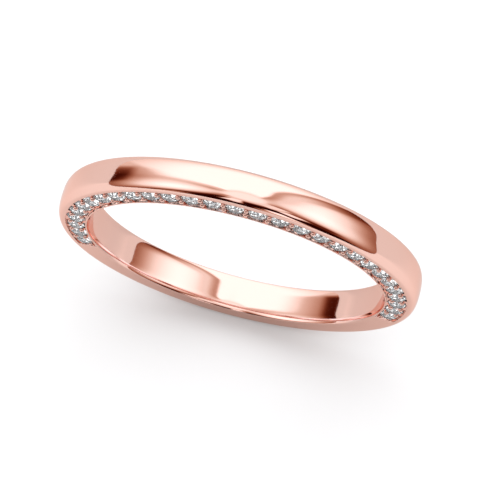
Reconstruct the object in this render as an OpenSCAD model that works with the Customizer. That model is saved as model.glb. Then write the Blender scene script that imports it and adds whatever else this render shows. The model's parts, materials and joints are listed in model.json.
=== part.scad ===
// Wedding band with a diamond row let into each side face, and a plain rounded outside.
// The ring stands upright: the finger hole runs along Y, the front side face looks towards -Y,
// +Z is the top, through the middle diamond of each row. The origin is the centre of the finger hole.

/* [Ring] */
// Inside diameter, which sets the finger size
bore_d = 16.9; // [14:0.1:22]
// Width of the ring along the finger, at the inner rims
ring_w = 2.1; // [1.8:0.05:4]
// Width of the straight cylindrical part of the finger hole
comfort_land = 1.04; // [0.6:0.02:1.6]
// How far the finger hole opens out at each edge, for comfort
comfort_rise = 0.1; // [0.04:0.01:0.3]
// Slope of the side faces, which makes the ring narrower towards the outside
draft_angle = 3.5; // [0:0.5:8]
// Height of the rounded outside above its shoulders
dome_rise = 0.44; // [0.2:0.02:1]
// Fullness of the rounded outside: 2 is an ellipse, more is squarer
dome_fullness = 2.8; // [2:0.1:4]

/* [Diamonds] */
// Number of diamonds in each side face
stones_per_side = 29; // [5:2:29]
// Diameter of one diamond
stone_d = 1.1; // [0.9:0.05:1.5]
// Gap between the girdles of neighbouring diamonds
stone_gap = 0.1; // [0.06:0.01:0.3]
// Width of the table, as a share of the diameter
table_share = 0.56; // [0.5:0.01:0.65]
// Angle of the crown's main facets
crown_angle = 34.5; // [30:0.5:37]
// Angle of the pavilion's main facets
pavilion_angle = 40.75; // [39:0.25:43]
// Thickness of the girdle
girdle_h = 0.035; // [0.02:0.005:0.06]

/* [Setting] */
// Room between a diamond and the metal all round it
seat_clearance = 0.01; // [0.005:0.005:0.02]
// Room between the diamonds and each wall of the channel
wall_clearance = 0.03; // [0.02:0.01:0.1]
// Width of the rim between the finger hole and the channel
inner_rim = 0.07; // [0.05:0.01:0.4]
// Width of the rim between the channel and the rounded outside
outer_rim = 0.08; // [0.05:0.01:0.4]
// Height of the diamonds' tables above the side face, at the middle of the row
table_rise = 0.035; // [0.02:0.005:0.04]
// Diameter of the round metal beads that hold the diamonds
bead_d = 0.27; // [0.22:0.01:0.3]
// How far a bead reaches over the edge of a diamond
bead_bite = 0.02; // [0.01:0.005:0.03]
// Height of a bead's centre above the girdles
bead_lift = 0.08; // [0.06:0.01:0.1]
// Diameter of the post that each bead tops
post_d = 0.24; // [0.2:0.01:0.25]
// Distance from the middle of the last beads to the end wall of the channel
end_land = 0.06; // [0.04:0.01:0.08]
// Width of the web of metal left standing between two diamonds, under their beads
web_w = 0.26; // [0.2:0.02:0.3]
// Depth of the pockets cut beside each diamond, below the girdles
pocket_depth = 0.15; // [0.08:0.01:0.16]
// Step between a pocket and the channel's walls
pocket_step = 0.03; // [0.03:0.01:0.05]
// Diameter of the drilled pilot hole under each diamond
pilot_d = 0.4; // [0.3:0.05:0.5]
// Depth of the pilot hole below the point of the diamond
pilot_depth = 0.04; // [0.02:0.01:0.06]

/* [Hidden] */
bore_r = bore_d / 2;
stone_r = stone_d / 2;
bead_r = bead_d / 2;

// Cross-section of the ring, from the finger hole outwards
inner_edge_r = bore_r + comfort_rise;
channel_w = stone_d + 2 * wall_clearance;
row_r = inner_edge_r + inner_rim + channel_w / 2;
shoulder_r = inner_edge_r + inner_rim + channel_w + outer_rim;
crown_r = shoulder_r + dome_rise;
dome_steps = 24;
comfort_steps = 8;
ring_fn = 180;
small_fn = 32;

// Proportions of a round brilliant with eight main facets, in units of millimetres
table_r = stone_r * table_share;
table_flat_r = table_r * cos(22.5);
crown_h = (stone_r - table_r) * tan(crown_angle);
star_r = (table_flat_r + stone_r) / 2;
star_z = crown_h - (star_r * cos(22.5) - table_r) * tan(crown_angle);
lower_r = stone_r * 0.23;
lower_z = -girdle_h - (stone_r - lower_r * cos(22.5)) * tan(pavilion_angle);
culet_z = -girdle_h - stone_r * tan(pavilion_angle);

// Spacing of the row and of its beads
girdle_z = face_z(row_r) + table_rise - crown_h;
pitch_chord = stone_d + stone_gap;
pitch_angle = 2 * asin(pitch_chord / 2 / row_r);
row_angle = (stones_per_side - 1) * pitch_angle;
bead_reach = stone_r + bead_r - bead_bite;
bead_offset = sqrt(pow(bead_reach, 2) - pow(pitch_chord / 2, 2));
pocket_l = pitch_chord - web_w;
pocket_w = channel_w - 2 * pocket_step;
end_land_angle = end_land / row_r * 180 / PI;
channel_angle = row_angle + pitch_angle + 2 * end_land_angle;
overcut = 0.3;
post_root = 0.02;

function two_digits(i) = i < 10 ? str("0", i) : str(i);
function front_name(i) = str("front_diamond_", two_digits(i));
function back_name(i) = str("back_diamond_", two_digits(i));

// Height of the side face above the middle of the ring, at a given radius
function face_z(r) = ring_w / 2 - (r - inner_edge_r) * tan(draft_angle);

// Points of the outline. The hole's edges are quarter ellipses and the outside is a superellipse.
function comfort_point(t) = [
    bore_r + comfort_rise * (1 - cos(t)),
    comfort_land / 2 + (ring_w - comfort_land) / 2 * sin(t)
];
function dome_point(t) = [
    shoulder_r + dome_rise * pow(abs(cos(t)), 2 / dome_fullness),
    face_z(shoulder_r) * sign(sin(t)) * pow(abs(sin(t)), 2 / dome_fullness)
];
function ring_outline() = concat(
    [for (k = [0:comfort_steps]) comfort_point(k * 90 / comfort_steps)],
    [for (k = [0:dome_steps]) dome_point(90 - k * 180 / dome_steps)],
    [for (k = [comfort_steps:-1:0]) [
        comfort_point(k * 90 / comfort_steps)[0],
        -comfort_point(k * 90 / comfort_steps)[1]
    ]]
);

// Points and facets of one round brilliant. The girdle's upper edge is at z = 0.
function circle_points(count, r, z, first = 0) =
    [for (k = [0:count - 1]) [r * cos(first + k * 360 / count), r * sin(first + k * 360 / count), z]];
function brilliant_points() = concat(
    circle_points(8, table_r, crown_h),
    circle_points(8, star_r, star_z, 22.5),
    circle_points(16, stone_r, 0),
    circle_points(16, stone_r, -girdle_h),
    circle_points(8, lower_r, lower_z, 22.5),
    [[0, 0, culet_z]]
);
function table_corner(k) = (k + 8) % 8;
function star_tip(k) = 8 + (k + 8) % 8;
function girdle_top(k) = 16 + (k + 16) % 16;
function girdle_bottom(k) = 32 + (k + 16) % 16;
function lower_tip(k) = 48 + (k + 8) % 8;
culet = 56;
function brilliant_facets() = concat(
    [[for (k = [7:-1:0]) table_corner(k)]],
    [for (k = [0:7]) [table_corner(k), table_corner(k + 1), star_tip(k)]],
    [for (k = [0:7]) [table_corner(k), star_tip(k), girdle_top(2 * k), star_tip(k - 1)]],
    [for (k = [0:7]) [star_tip(k), girdle_top(2 * k + 1), girdle_top(2 * k)]],
    [for (k = [0:7]) [star_tip(k), girdle_top(2 * k + 2), girdle_top(2 * k + 1)]],
    [for (k = [0:15]) [girdle_top(k), girdle_top(k + 1), girdle_bottom(k + 1), girdle_bottom(k)]],
    [for (k = [0:7]) [lower_tip(k), girdle_bottom(2 * k), girdle_bottom(2 * k + 1)]],
    [for (k = [0:7]) [lower_tip(k), girdle_bottom(2 * k + 1), girdle_bottom(2 * k + 2)]],
    [for (k = [0:7]) [culet, lower_tip(k - 1), girdle_bottom(2 * k), lower_tip(k)]]
);

// Turns a shape drawn round the Z axis, with its top along +Y, into the upright ring's frame
module upright() {
    rotate([90, 0, 0])
        children();
}

// Places a shape on the front row's centreline, with its origin level with the girdles
module on_front_row(angle) {
    rotate([0, 0, -angle])
        translate([0, row_r, girdle_z])
            children();
}

module brilliant() {
    polyhedron(brilliant_points(), brilliant_facets(), convexity = 2);
}

// Metal taken away for one diamond: the diamond itself with clearance, and the drilled pilot hole
module seat() {
    rotate_extrude($fn = small_fn)
        polygon([
            [0, culet_z - pilot_depth],
            [pilot_d / 2, culet_z - pilot_depth],
            [pilot_d / 2, -girdle_h - (stone_r - pilot_d / 2) * tan(pavilion_angle) - seat_clearance],
            [stone_r + seat_clearance, -girdle_h - seat_clearance],
            [stone_r + seat_clearance, seat_clearance],
            [star_r + seat_clearance, star_z + seat_clearance],
            [table_r + seat_clearance, crown_h + seat_clearance],
            [table_r + seat_clearance, crown_h + overcut],
            [0, crown_h + overcut]
        ]);
}

// Metal taken away round one diamond, which leaves an open pocket at each of its corners
module pocket() {
    translate([-pocket_l / 2, -pocket_w / 2, -pocket_depth])
        cube([pocket_l, pocket_w, pocket_depth + overcut]);
}

// Recess along the front side face, with a flat floor level with the girdles, and square ends
module channel() {
    rotate([0, 0, 90 - channel_angle / 2])
        rotate_extrude(angle = channel_angle, $fn = ring_fn)
            translate([row_r - channel_w / 2, girdle_z])
                square([channel_w, crown_h + overcut]);
}

module pockets() {
    for (i = [1:stones_per_side])
        on_front_row(row_place(i))
            pocket();
}

module seats() {
    for (i = [1:stones_per_side])
        on_front_row(row_place(i))
            seat();
}

// One bead on its post, standing on the floor of the channel
module bead() {
    translate([0, 0, bead_lift])
        sphere(bead_r, $fn = small_fn);
    translate([0, 0, -post_root])
        cylinder(d = post_d, h = post_root + bead_lift, $fn = small_fn);
}

// Pairs of beads between the diamonds of the front row, and one pair at each end of it
module beads() {
    for (i = [0:stones_per_side])
        for (turn = [90, 270])
            on_front_row((i - stones_per_side / 2) * pitch_angle)
                rotate(turn)
                    translate([bead_offset, 0, 0])
                        bead();
}

module both_sides() {
    children();
    mirror([0, 0, 1])
        children();
}

// Place of a diamond along its row, in degrees from the top
function row_place(i) = (i - (stones_per_side + 1) / 2) * pitch_angle;

// The gold ring, cast in one piece, with its beads raised from its own metal
module band() {
    color([0.91, 0.70, 0.61])
        upright()
            difference() {
                union() {
                    difference() {
                        rotate_extrude($fn = ring_fn)
                            polygon(ring_outline());
                        both_sides()
                            channel();
                        both_sides()
                            pockets();
                    }
                    both_sides()
                        beads();
                }
                both_sides()
                    seats();
            }
}

module front_diamond(i) {
    color([0.93, 0.95, 0.97])
        upright()
            on_front_row(row_place(i))
                brilliant();
}

module back_diamond(i) {
    color([0.93, 0.95, 0.97])
        upright()
            mirror([0, 0, 1])
                on_front_row(row_place(i))
                    brilliant();
}

band();
for (i = [1:stones_per_side]) {
    front_diamond(i);
    back_diamond(i);
}
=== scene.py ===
import json
import math
import bmesh
import bpy
from mathutils import Matrix, Vector


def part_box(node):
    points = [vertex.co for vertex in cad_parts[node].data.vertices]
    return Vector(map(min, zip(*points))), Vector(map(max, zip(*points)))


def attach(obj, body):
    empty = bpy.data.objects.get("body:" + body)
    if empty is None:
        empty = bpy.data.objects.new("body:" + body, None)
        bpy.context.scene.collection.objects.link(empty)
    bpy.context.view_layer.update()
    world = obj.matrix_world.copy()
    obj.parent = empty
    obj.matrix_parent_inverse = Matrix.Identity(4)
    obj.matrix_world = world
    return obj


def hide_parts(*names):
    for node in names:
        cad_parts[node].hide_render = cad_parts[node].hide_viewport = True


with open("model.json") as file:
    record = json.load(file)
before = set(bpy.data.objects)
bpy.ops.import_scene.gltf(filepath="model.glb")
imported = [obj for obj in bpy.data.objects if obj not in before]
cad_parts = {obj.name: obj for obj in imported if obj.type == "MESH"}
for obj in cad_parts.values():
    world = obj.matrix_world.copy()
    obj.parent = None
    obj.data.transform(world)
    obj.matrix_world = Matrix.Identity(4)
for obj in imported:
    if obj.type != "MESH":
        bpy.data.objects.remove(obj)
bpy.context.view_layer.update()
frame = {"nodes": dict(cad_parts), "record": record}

# ---------------------------------------------------------------------------
# Camera: a long lens high above the front of the ring and a little to its right, looking down on it.
# The ring sits slightly below the middle of the frame.
camera_azimuth = math.radians(14.87)
camera_elevation = math.radians(71.64)
camera_distance = 0.1195
camera_roll = math.radians(0.13)
towards_camera = Vector((
    math.sin(camera_azimuth) * math.cos(camera_elevation),
    -math.cos(camera_azimuth) * math.cos(camera_elevation),
    math.sin(camera_elevation),
))
camera_right = Vector((math.cos(camera_azimuth), math.sin(camera_azimuth), 0.0))
camera_turn = Matrix((camera_right, towards_camera.cross(camera_right), towards_camera)).transposed()
camera_data = bpy.data.cameras.new("camera")
camera_data.sensor_width = 36.0
camera_data.lens = 161.1
camera_data.shift_x = 0.0009
camera_data.shift_y = 0.0191
camera_data.clip_start = 0.001
camera_data.clip_end = 20.0
camera = bpy.data.objects.new("camera", camera_data)
camera.matrix_world = (
    Matrix.Translation(towards_camera * camera_distance)
    @ camera_turn.to_4x4()
    @ Matrix.Rotation(-camera_roll, 4, "Z")
)
bpy.context.scene.collection.objects.link(camera)
bpy.context.scene.camera = camera

# ---------------------------------------------------------------------------
# The ring: one piece of rose gold, cast and then turned and polished. Its finger hole opens out at
# both edges, its side faces lean in a little, and its outside is a low, full-shouldered dome.
# A channel is cut into each side face over the top, and the beads in it are raised from its own gold.

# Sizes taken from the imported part.
band_low, band_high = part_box("band")
stone_low, stone_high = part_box("front_diamond_15")
next_low, next_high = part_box("front_diamond_16")
finger_bore = frame["record"]["mounts"][0]["dims"]
crown_radius = band_high.x
bore_radius = finger_bore["r_mm"] / 1000
comfort_land = finger_bore["length_mm"] / 1000
stones_per_side = sum(name.startswith("front_diamond_") for name in frame["nodes"])
stone_radius = (stone_high.x - stone_low.x) / 2
row_radius = (stone_high.z + stone_low.z) / 2
pitch = math.atan2(next_low.x + next_high.x, next_low.z + next_high.z)
gap_chord = 2 * row_radius * math.sin(pitch / 2)

# Cut of the diamonds, which their seats follow.
crown_angle = math.radians(34.5)
pavilion_angle = math.radians(40.75)
girdle_thickness = 0.035e-3
table_share = 0.56
table_radius = stone_radius * table_share
crown_height = (stone_radius - table_radius) * math.tan(crown_angle)
girdle_level = -stone_low.y - crown_height

# Channels and rims. A table stands a little above the side face, halfway between the two rims.
wall_clearance = 0.03e-3
inner_rim = 0.07e-3
outer_rim = 0.08e-3
rim_rounding = 0.012e-3
end_land = 0.06e-3
table_rise = 0.035e-3
draft = math.radians(3.5)
channel_in = row_radius - stone_radius - wall_clearance
channel_out = row_radius + stone_radius + wall_clearance
channel_half_angle = stones_per_side * pitch / 2 + end_land / row_radius
inner_edge = channel_in - inner_rim
shoulder = channel_out + outer_rim
ring_width = 2 * (-stone_low.y - table_rise + (row_radius - inner_edge) * math.tan(draft))

# Fineness of the turned shape.
dome_fullness = 2.8
dome_steps = 26
comfort_steps = 12
land_steps = 4
rim_steps = 3
slices_per_stone = 20
plain_slices = 300


def face_height(radius):
    """Height of the side face above the middle of the ring."""
    return ring_width / 2 - (radius - inner_edge) * math.tan(draft)


def comfort_edge():
    """Outline of the finger hole's flare, from the straight land out to the side face."""
    rise = inner_edge - bore_radius
    reach = (ring_width - comfort_land) / 2
    turns = [math.pi / 2 * k / comfort_steps for k in range(comfort_steps + 1)]
    return [(bore_radius + rise * (1 - math.cos(t)), comfort_land / 2 + reach * math.sin(t)) for t in turns]


def half_dome():
    """Outline of the rounded outside, from just above the shoulder to just short of the crown."""
    rise = crown_radius - shoulder
    half = face_height(shoulder)
    power = 2 / dome_fullness
    turns = [math.pi / 2 * (1 - k / dome_steps) for k in range(1, dome_steps)]
    return [(shoulder + rise * math.cos(t) ** power, half * math.sin(t) ** power) for t in turns]


def slice_outlines():
    """Outline of one slice: round the outside, the back channel, the finger hole, the front channel.

    A point is (radius, height), and height is above the middle of the ring, towards the front.
    """
    rim_foot = channel_out + rim_rounding
    outside = [(rim_foot, face_height(rim_foot)), (shoulder, face_height(shoulder))] + half_dome()
    outside = outside + [(crown_radius, 0.0)] + [(r, -h) for r, h in reversed(outside)]
    rim_edge = channel_in - rim_rounding
    hole = [(rim_edge, face_height(rim_edge))] + list(reversed(comfort_edge()))
    hole += [(bore_radius, comfort_land / 2 * k / land_steps) for k in range(land_steps - 1, 0, -1)]
    hole = [(r, -h) for r, h in hole] + [(bore_radius, 0.0)] + list(reversed(hole))
    turns = [math.pi / 2 * k / rim_steps for k in range(1, rim_steps + 1)]
    rounded = [(rim_rounding * (1 - math.sin(t)), rim_rounding * (1 - math.cos(t))) for t in turns]
    inner_wall = [(channel_in - aside, face_height(channel_in) - down) for aside, down in rounded]
    outer_wall = [(channel_out + aside, face_height(channel_out) - down) for aside, down in rounded]
    floor_of_channel = [(channel_in, girdle_level), (channel_out, girdle_level)]
    front = inner_wall + floor_of_channel + list(reversed(outer_wall))
    back = [(r, -h) for r, h in reversed(front)]
    return outside, back, hole, front


def at_slice(angle, point):
    """Place of an outline's point on the slice at an angle from the top."""
    radius, height = point
    return (radius * math.sin(angle), -height, radius * math.cos(angle))


def ring_blank():
    """The turned ring with its two channels, as one closed mesh."""
    outside, back, hole, front = slice_outlines()
    mesh = bmesh.new()
    cut_slices = stones_per_side * slices_per_stone
    cut_angles = [channel_half_angle * (2 * k / cut_slices - 1) for k in range(cut_slices + 1)]
    plain_step = (2 * math.pi - 2 * channel_half_angle) / plain_slices
    plain_angles = [channel_half_angle + plain_step * k for k in range(1, plain_slices)]

    def run(angle, points):
        return [mesh.verts.new(at_slice(angle, p)) for p in points]

    def stitch(first, second):
        first = [v for points in first for v in points]
        second = [v for points in second for v in points]
        for k in range(len(first)):
            n = (k + 1) % len(first)
            mesh.faces.new((first[k], first[n], second[n], second[k]))

    cut = [[run(a, outside), run(a, back), run(a, hole), run(a, front)] for a in cut_angles]
    plain = [[run(a, outside), run(a, hole)] for a in plain_angles]
    for first, second in zip(cut, cut[1:]):
        stitch(first, second)
    closed = [[cut[-1][0], cut[-1][2]]] + plain + [[cut[0][0], cut[0][2]]]
    for first, second in zip(closed, closed[1:]):
        stitch(first, second)
    for outer, behind, inner, before in (cut[0], cut[-1]):
        mesh.faces.new([inner[-1]] + before + [outer[0]])
        mesh.faces.new([outer[-1]] + behind + [inner[0]])
    bmesh.ops.recalc_face_normals(mesh, faces=mesh.faces)
    return mesh


def on_row(side, place):
    """Turns a shape's own frame (along the row, outwards, out of the face) into its place on a side face."""
    angle = place * pitch
    along = Vector((side * math.cos(angle), 0.0, -side * math.sin(angle)))
    outwards = Vector((math.sin(angle), 0.0, math.cos(angle)))
    out_of_face = Vector((0.0, -side, 0.0))
    turn = Matrix((along, outwards, out_of_face)).transposed().to_4x4()
    return Matrix.Translation(outwards * row_radius + out_of_face * girdle_level) @ turn


def lathe(mesh, matrix, outline, sides):
    """Adds a closed turned shape, whose outline starts and ends on its axis."""
    turns = [2 * math.pi * k / sides for k in range(sides)]
    rings = []
    for radius, height in outline[1:-1]:
        points = [Vector((radius * math.cos(t), radius * math.sin(t), height)) for t in turns]
        rings.append([mesh.verts.new(matrix @ p) for p in points])
    foot = mesh.verts.new(matrix @ Vector((0, 0, outline[0][1])))
    tip = mesh.verts.new(matrix @ Vector((0, 0, outline[-1][1])))
    for k in range(sides):
        n = (k + 1) % sides
        mesh.faces.new((foot, rings[0][n], rings[0][k]))
        mesh.faces.new((tip, rings[-1][k], rings[-1][n]))
        for low, high in zip(rings, rings[1:]):
            mesh.faces.new((low[k], low[n], high[n], high[k]))


def in_gold_and_plating(name, mesh):
    """Makes an object of a mesh, in rose gold, with the plating as its second material."""
    data = bpy.data.meshes.new(name)
    mesh.to_mesh(data)
    mesh.free()
    data.materials.append(rose_gold)
    data.materials.append(plating)
    made = bpy.data.objects.new(name, data)
    bpy.context.scene.collection.objects.link(made)
    return made


def work(piece, operation, tool):
    """Cuts the tool's shape out of a piece, or joins it on, and clears the tool away."""
    step = piece.modifiers.new("work", "BOOLEAN")
    step.object = tool
    step.operation = operation
    step.solver = "MANIFOLD"
    bpy.context.view_layer.update()
    worked = piece.evaluated_get(bpy.context.evaluated_depsgraph_get())
    result = bpy.data.meshes.new_from_object(worked)
    piece.modifiers.clear()
    piece.data = result
    bpy.data.objects.remove(tool)


def add_node(tree, kind, **values):
    """Adds a node. Each value goes to its setting, or else to its socket: from_min is From Min."""
    made = tree.nodes.new(kind)
    for name, value in values.items():
        if hasattr(made, name):
            setattr(made, name, value)
        else:
            made.inputs[name.replace("_", " ").title()].default_value = value
    return made


rose_gold = bpy.data.materials.new("polished rose gold")
rose_gold.use_nodes = True
gold_tree = rose_gold.node_tree
gold_shader = gold_tree.nodes["Principled BSDF"]
gold_shader.inputs["Base Color"].default_value = (0.94, 0.605, 0.515, 1)
gold_shader.inputs["Metallic"].default_value = 1.0
gold_shader.inputs["Specular Tint"].default_value = (0.97, 0.80, 0.74, 1)
# The polish varies a little, and the polishing mop leaves the surface very slightly uneven.
gold_place = gold_tree.nodes.new("ShaderNodeTexCoord").outputs["Object"]
polish = add_node(gold_tree, "ShaderNodeTexNoise", scale=900.0, detail=5.0)
roughness = add_node(gold_tree, "ShaderNodeMapRange", from_min=0.3, from_max=0.7, to_min=0.035, to_max=0.075)
ripple = add_node(gold_tree, "ShaderNodeTexNoise", scale=1400.0, detail=2.0)
relief = add_node(gold_tree, "ShaderNodeBump", strength=0.06, distance=0.00002)
gold_tree.links.new(gold_place, polish.inputs["Vector"])
gold_tree.links.new(gold_place, ripple.inputs["Vector"])
gold_tree.links.new(polish.outputs["Fac"], roughness.inputs["Value"])
gold_tree.links.new(roughness.outputs["Result"], gold_shader.inputs["Roughness"])
gold_tree.links.new(ripple.outputs["Fac"], relief.inputs["Height"])
gold_tree.links.new(relief.outputs["Normal"], gold_shader.inputs["Normal"])

# The seats under the diamonds are plated white, so that the gold doesn't colour the stones.
plating = bpy.data.materials.new("white plating in the seats")
plating.use_nodes = True
plating_shader = plating.node_tree.nodes["Principled BSDF"]
plating_shader.inputs["Base Color"].default_value = (0.86, 0.87, 0.88, 1)
plating_shader.inputs["Metallic"].default_value = 1.0
plating_shader.inputs["Roughness"].default_value = 0.12

ring = in_gold_and_plating("ring_band", ring_blank())
stone_places = [k - (stones_per_side - 1) / 2 for k in range(stones_per_side)]
web_places = [k - stones_per_side / 2 for k in range(stones_per_side + 1)]
front_and_back = (1, -1)
overcut = 0.3e-3

# Pockets: the metal beside each diamond is cut down, which leaves a thin web between neighbours.
web_width = 0.26e-3
pocket_step = 0.03e-3
pocket_deep = 0.15e-3
pocket_long = gap_chord - web_width
pocket_wide = 2 * (stone_radius + wall_clearance - pocket_step)
pocket_size = Matrix.Diagonal((pocket_long, pocket_wide, pocket_deep + 2 * overcut, 1))
pocket_lift = Matrix.Translation((0, 0, overcut - pocket_deep / 2))
pockets = bmesh.new()
for side in front_and_back:
    for place in stone_places:
        bmesh.ops.create_cube(pockets, size=1, matrix=on_row(side, place) @ pocket_lift @ pocket_size)
work(ring, "DIFFERENCE", in_gold_and_plating("pocket_tool", pockets))

# Beads: little grains of the ring's own gold, raised on the webs and pushed over the diamonds' edges.
bead_radius = 0.135e-3
bead_bite = 0.02e-3
bead_lift = 0.08e-3
post_radius = 0.12e-3
post_root = 0.02e-3
bead_sides = 24
bead_steps = 14
bead_reach = stone_radius + bead_radius - bead_bite
bead_offset = math.sqrt(bead_reach ** 2 - (gap_chord / 2) ** 2)
neck = math.asin(post_radius / bead_radius)
bead_turns = [neck + (math.pi - neck) * k / bead_steps for k in range(bead_steps + 1)]
bead_outline = [(0, -post_root), (post_radius, -post_root)]
bead_outline += [(bead_radius * math.sin(t), bead_lift - bead_radius * math.cos(t)) for t in bead_turns]
beads = bmesh.new()
for side in front_and_back:
    for place in web_places:
        for offset in (bead_offset, -bead_offset):
            lathe(beads, on_row(side, place) @ Matrix.Translation((0, offset, 0)), bead_outline, bead_sides)
work(ring, "UNION", in_gold_and_plating("bead_tool", beads))

# Seats: each diamond's hole is bored last, so that the beads are cut to fit closely over its crown.
# It has a pilot hole, a cone under the pavilion, and a wall that follows the girdle and the crown.
seat_room = 0.01e-3
pilot_radius = 0.2e-3
pilot_depth = 0.04e-3
seat_sides = 48
half_facet = math.cos(math.pi / 8)
star_radius = (table_radius * half_facet + stone_radius) / 2
star_height = crown_height - (star_radius * half_facet - table_radius) * math.tan(crown_angle)
culet = -girdle_thickness - stone_radius * math.tan(pavilion_angle)
cone_foot = -girdle_thickness - (stone_radius - pilot_radius) * math.tan(pavilion_angle) - seat_room
seat_outline = [
    (0, culet - pilot_depth),
    (pilot_radius, culet - pilot_depth),
    (pilot_radius, cone_foot),
    (stone_radius + seat_room, -girdle_thickness - seat_room),
    (stone_radius + seat_room, seat_room),
    (star_radius + seat_room, star_height + seat_room),
    (table_radius + seat_room, crown_height + seat_room),
    (table_radius + seat_room, crown_height + overcut),
    (0, crown_height + overcut),
]
seats = bmesh.new()
for side in front_and_back:
    for place in stone_places:
        lathe(seats, on_row(side, place), seat_outline, seat_sides)
for face in seats.faces:
    face.material_index = 1
work(ring, "DIFFERENCE", in_gold_and_plating("seat_tool", seats))

edge_angle = math.radians(28)
ring.data.polygons.foreach_set("use_smooth", [True] * len(ring.data.polygons))
ring.data.set_sharp_from_angle(angle=edge_angle)
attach(ring, "root")
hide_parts("band")

# ---------------------------------------------------------------------------
# The diamonds: 29 round brilliants in each side face, with their tables outwards. They are sawn, cut
# and polished, and each one is dropped into its seat and held at its edge by four beads.
diamond = bpy.data.materials.new("diamond")
diamond.use_nodes = True
diamond_tree = diamond.node_tree
diamond_shader = diamond_tree.nodes["Principled BSDF"]
diamond_shader.inputs["Base Color"].default_value = (1, 1, 1, 1)
diamond_shader.inputs["Roughness"].default_value = 0.0
diamond_shader.inputs["IOR"].default_value = 2.42
diamond_shader.inputs["Transmission Weight"].default_value = 1.0
# The facets are polished, and the girdle between crown and pavilion, which faces sideways, is frosted.
facing = diamond_tree.nodes.new("ShaderNodeNewGeometry")
facing_parts = diamond_tree.nodes.new("ShaderNodeSeparateXYZ")
facet_tilt = add_node(diamond_tree, "ShaderNodeMath", operation="ABSOLUTE")
frosting = add_node(diamond_tree, "ShaderNodeMapRange", from_min=0.05, from_max=0.1, to_min=0.4, to_max=0.0)
diamond_tree.links.new(facing.outputs["True Normal"], facing_parts.inputs[0])
diamond_tree.links.new(facing_parts.outputs["Y"], facet_tilt.inputs[0])
diamond_tree.links.new(facet_tilt.outputs[0], frosting.inputs["Value"])
diamond_tree.links.new(frosting.outputs["Result"], diamond_shader.inputs["Roughness"])
for name, stone in frame["nodes"].items():
    if name != "band":
        stone.data.materials.clear()
        stone.data.materials.append(diamond)

# ---------------------------------------------------------------------------
# The floor: a sheet of white paper that the ring stands on. In the gold it is painted a little darker than
# to the eye, with painted light brightest to the left and right of the ring, where the side lights fall, and
# painted shade behind.
paper = bpy.data.materials.new("white paper")
paper.use_nodes = True
paper_tree = paper.node_tree
paper_shader = paper_tree.nodes["Principled BSDF"]
paper_shader.inputs["Base Color"].default_value = (0.9, 0.9, 0.9, 1)
paper_shader.inputs["Roughness"].default_value = 1.0
paper_shader.inputs["Specular IOR Level"].default_value = 0.0
paper_place = paper_tree.nodes.new("ShaderNodeNewGeometry")
paper_parts = paper_tree.nodes.new("ShaderNodeSeparateXYZ")
sideways = add_node(paper_tree, "ShaderNodeMath", operation="ABSOLUTE")
# Painted light and shade: in the colour that the gold sees, the paper is painted brighter to the left and
# right of the ring and painted darker behind it.
painted_side_light = add_node(
    paper_tree, "ShaderNodeMapRange", interpolation_type="SMOOTHSTEP",
    from_min=0.005, from_max=0.020, to_min=0.66, to_max=0.80,
)
painted_shade_behind = add_node(
    paper_tree, "ShaderNodeMapRange", interpolation_type="SMOOTHSTEP",
    from_min=0.0, from_max=0.012, to_min=1.0, to_max=0.85,
)
painted_paper_light = add_node(paper_tree, "ShaderNodeMath", operation="MULTIPLY")
# The gold sees this dimmer copy of the paper, with its painted light and shade; the camera sees the plain
# white paper.
paper_with_painted_light = paper_tree.nodes.new("ShaderNodeBsdfDiffuse")
paper_path = paper_tree.nodes.new("ShaderNodeLightPath")
paper_mix = paper_tree.nodes.new("ShaderNodeMixShader")
paper_tree.links.new(paper_place.outputs["Position"], paper_parts.inputs[0])
paper_tree.links.new(paper_parts.outputs["X"], sideways.inputs[0])
paper_tree.links.new(sideways.outputs[0], painted_side_light.inputs["Value"])
paper_tree.links.new(paper_parts.outputs["Y"], painted_shade_behind.inputs["Value"])
paper_tree.links.new(painted_side_light.outputs["Result"], painted_paper_light.inputs[0])
paper_tree.links.new(painted_shade_behind.outputs["Result"], painted_paper_light.inputs[1])
paper_tree.links.new(painted_paper_light.outputs[0], paper_with_painted_light.inputs["Color"])
paper_tree.links.new(paper_path.outputs["Is Camera Ray"], paper_mix.inputs[0])
paper_tree.links.new(paper_with_painted_light.outputs[0], paper_mix.inputs[1])
paper_tree.links.new(paper_shader.outputs[0], paper_mix.inputs[2])
paper_tree.links.new(paper_mix.outputs[0], paper_tree.nodes["Material Output"].inputs["Surface"])

paper_reach = 2.0
floor_mesh = bmesh.new()
bmesh.ops.create_grid(floor_mesh, x_segments=1, y_segments=1, size=paper_reach)
floor_data = bpy.data.meshes.new("floor")
floor_mesh.to_mesh(floor_data)
floor_mesh.free()
floor_data.materials.append(paper)
floor = bpy.data.objects.new("floor", floor_data)
floor.location = (0, 0, band_low.z)
bpy.context.scene.collection.objects.link(floor)

# ---------------------------------------------------------------------------
# The light: a jeweller's studio of soft boxes, all far away, laid out by bearing and height in
# degrees. Bearing 0 is straight in front of the ring, 90 is to its right, and 180 is behind it.
# Brightness 1 is white, and each light is laid over the ones before it.
studio = bpy.data.worlds.new("studio")
bpy.context.scene.world = studio
studio.use_nodes = True
studio_tree = studio.node_tree
studio_tree.nodes.clear()


def feed(value, socket):
    """Gives a socket a fixed value, or links it to another node's socket."""
    if isinstance(value, bpy.types.NodeSocket):
        studio_tree.links.new(value, socket)
    else:
        socket.default_value = value


def maths(operation, *values):
    """One sum on values or sockets."""
    made = add_node(studio_tree, "ShaderNodeMath", operation=operation)
    for value, socket in zip(values, made.inputs):
        feed(value, socket)
    return made.outputs[0]


def ramp(value, low, high, start=0.0, end=1.0):
    """Goes smoothly from start to end while the value goes from low to high."""
    made = add_node(studio_tree, "ShaderNodeMapRange", interpolation_type="SMOOTHSTEP")
    for item, socket in zip((value, low, high, start, end), made.inputs):
        feed(item, socket)
    return made.outputs[0]


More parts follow.
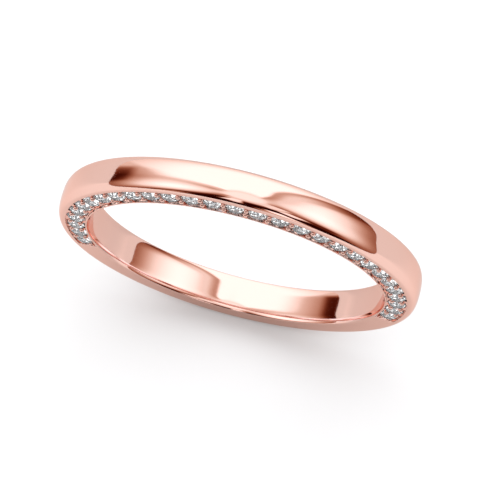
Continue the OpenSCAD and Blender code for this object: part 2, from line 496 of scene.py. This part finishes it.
direction = studio_tree.nodes.new("ShaderNodeTexCoord").outputs["Generated"]
direction_parts = studio_tree.nodes.new("ShaderNodeSeparateXYZ")
feed(direction, direction_parts.inputs[0])
rightwards, backwards, upwards = direction_parts.outputs
height = maths("DEGREES", maths("ARCSINE", upwards))
bearing = maths("DEGREES", maths("ARCTAN2", rightwards, maths("MULTIPLY", backwards, -1.0)))


def lay(below, mask, brightness):
    """Lays a light of some brightness over what is there, through a mask."""
    kept = maths("MULTIPLY", below, maths("SUBTRACT", 1.0, mask))
    return maths("ADD", kept, maths("MULTIPLY", mask, brightness))


def panel(left, right, low, high, soft):
    """Mask of a rectangular soft box, between two bearings and two heights."""
    mask = maths("MULTIPLY", ramp(bearing, left - soft, left + soft), ramp(height, low - soft, low + soft))
    mask = maths("MULTIPLY", mask, ramp(bearing, right - soft, right + soft, 1.0, 0.0))
    return maths("MULTIPLY", mask, ramp(height, high - soft, high + soft, 1.0, 0.0))


def round_panel(middle_bearing, middle_height, reach_across, reach_up, lean):
    """Mask of a soft box that is brightest in the middle, fades to its edges, and may lean over."""
    along = maths("SUBTRACT", height, middle_height)
    across = maths("SUBTRACT", maths("SUBTRACT", bearing, middle_bearing), maths("MULTIPLY", along, lean))
    across = maths("DIVIDE", across, reach_across)
    along = maths("DIVIDE", along, reach_up)
    away = maths("SQRT", maths("ADD", maths("MULTIPLY", across, across), maths("MULTIPLY", along, along)))
    return ramp(away, 0.0, 1.0, 1.0, 0.0)


room_light = 0.84
sky = room_light
# The dim front and sides of the room, darkest in front, with one more dark spot low on the left.
sky = lay(sky, panel(-110, 143, -20, 74, 6), 0.31)
sky = lay(sky, panel(-42, 56, -8, 62, 6), 0.02)
sky = lay(sky, panel(-111, -95, -2, 14, 5), 0.05)
# Two large round soft boxes, one on each side.
sky = lay(sky, round_panel(-78, 46, 52, 50, 0.0), 1.65)
sky = lay(sky, round_panel(107, 43, 46, 50, 0.3), 1.65)
# The gap to the right of the right one, which is dark at the bottom and has a slanting right side.
gap_side = ramp(maths("ADD", bearing, maths("MULTIPLY", height, 0.2)), 138, 148, 1.0, 0.0)
gap = maths("MULTIPLY", maths("MULTIPLY", ramp(bearing, 119, 127), gap_side), ramp(height, 62, 72, 1.0, 0.0))
sky = lay(sky, gap, ramp(height, 0, 54, 0.12, 1.0))
# A black flag to the left of the right soft box.
sky = lay(sky, panel(54, 72, 24, 50, 6), 0.10)
# Small bright strips in the dark of the front, from left to right.
sky = lay(sky, panel(-37, -25, -12, 22, 3), ramp(height, 0, 34, 0.55, 0.2))
sky = lay(sky, panel(-20, -3, 45, 68, 3), 1.25)
sky = lay(sky, panel(-10, -3, 37, 50, 3), 1.1)
sky = lay(sky, panel(4, 13, 0, 27, 3), 0.62)
sky = lay(sky, panel(12, 25, 0, 40, 3), ramp(height, 0, 26, 0.65, 1.45))
sky = lay(sky, panel(38, 58, 43, 60, 4), 1.25)
# The overhead sheet, which comes lower in front and lowest at the right of the front.
sky = lay(sky, panel(-34, 76, 67, 100, 5), 0.95)
sky = lay(sky, panel(33, 76, 61, 73, 4), 1.08)
sky = lay(sky, ramp(height, 74, 81), 1.3)
# The largest soft box, behind, brighter towards the top. Its left side bows out by 12 degrees.
box_middle = 36.0
bow_depth = 12.0
from_middle = maths("DIVIDE", maths("SUBTRACT", height, box_middle), box_middle)
bow = maths("MULTIPLY", maths("MULTIPLY", from_middle, from_middle), bow_depth)
back_box = maths("ADD", ramp(bearing, 141, 148), ramp(maths("ADD", bearing, bow), -115, -109, 1.0, 0.0))
back_box = maths("MULTIPLY", back_box, ramp(height, 73, 79, 1.0, 0.0))
sky = lay(sky, back_box, ramp(height, 0, 46, 0.98, 1.6))

# In the gold, the dark parts of the studio look warm brown and its lights a little whiter. Gold that
# is seen in other gold is kept from turning red. The ray depth here is 2 after one reflection.
paths = studio_tree.nodes.new("ShaderNodeLightPath")
dark_part = maths("MINIMUM", sky, 1.0)
bright_part = maths("MAXIMUM", sky, 1.0)
depth_limit = 2.5
seen_twice = maths("GREATER_THAN", paths.outputs["Ray Depth"], depth_limit)
gold_sees = studio_tree.nodes.new("ShaderNodeCombineColor")
feed(sky, gold_sees.inputs["Red"])
for channel, brown, glare, paler in (("Green", 0.75, 0.06, 0.5), ("Blue", 1.15, 0.2, 0.85)):
    seen = maths("MULTIPLY", sky, maths("POWER", dark_part, brown))
    seen = maths("MULTIPLY", seen, maths("POWER", bright_part, glare))
    feed(maths("MULTIPLY", seen, maths("MULTIPLY_ADD", seen_twice, paler, 1.0)), gold_sees.inputs[channel])
light = studio_tree.nodes.new("ShaderNodeBackground")
feed(gold_sees.outputs[0], light.inputs["Color"])


def instead(before, ray, strength):
    """Shows one kind of ray a neutral light of another strength, and the rest what they saw before."""
    neutral = studio_tree.nodes.new("ShaderNodeBackground")
    neutral.inputs["Color"].default_value = (1, 1, 1, 1)
    feed(strength, neutral.inputs["Strength"])
    chosen = studio_tree.nodes.new("ShaderNodeMixShader")
    feed(paths.outputs[ray], chosen.inputs[0])
    feed(before.outputs[0], chosen.inputs[1])
    feed(neutral.outputs[0], chosen.inputs[2])
    return chosen


# The paper and the diamonds see the studio brighter and without colour. The room behind is white.
paper_gain = 1.47
diamond_gain = 3.8
diamond_limit = 2.3
on_paper = maths("MULTIPLY", sky, paper_gain)
in_diamonds = maths("MINIMUM", maths("MULTIPLY", sky, diamond_gain), diamond_limit)
light = instead(light, "Is Diffuse Ray", on_paper)
light = instead(light, "Is Transmission Ray", in_diamonds)
light = instead(light, "Is Camera Ray", 1.0)
feed(light.outputs[0], studio_tree.nodes.new("ShaderNodeOutputWorld").inputs["Surface"])
bpy.context.scene.view_settings.view_transform = "Standard"
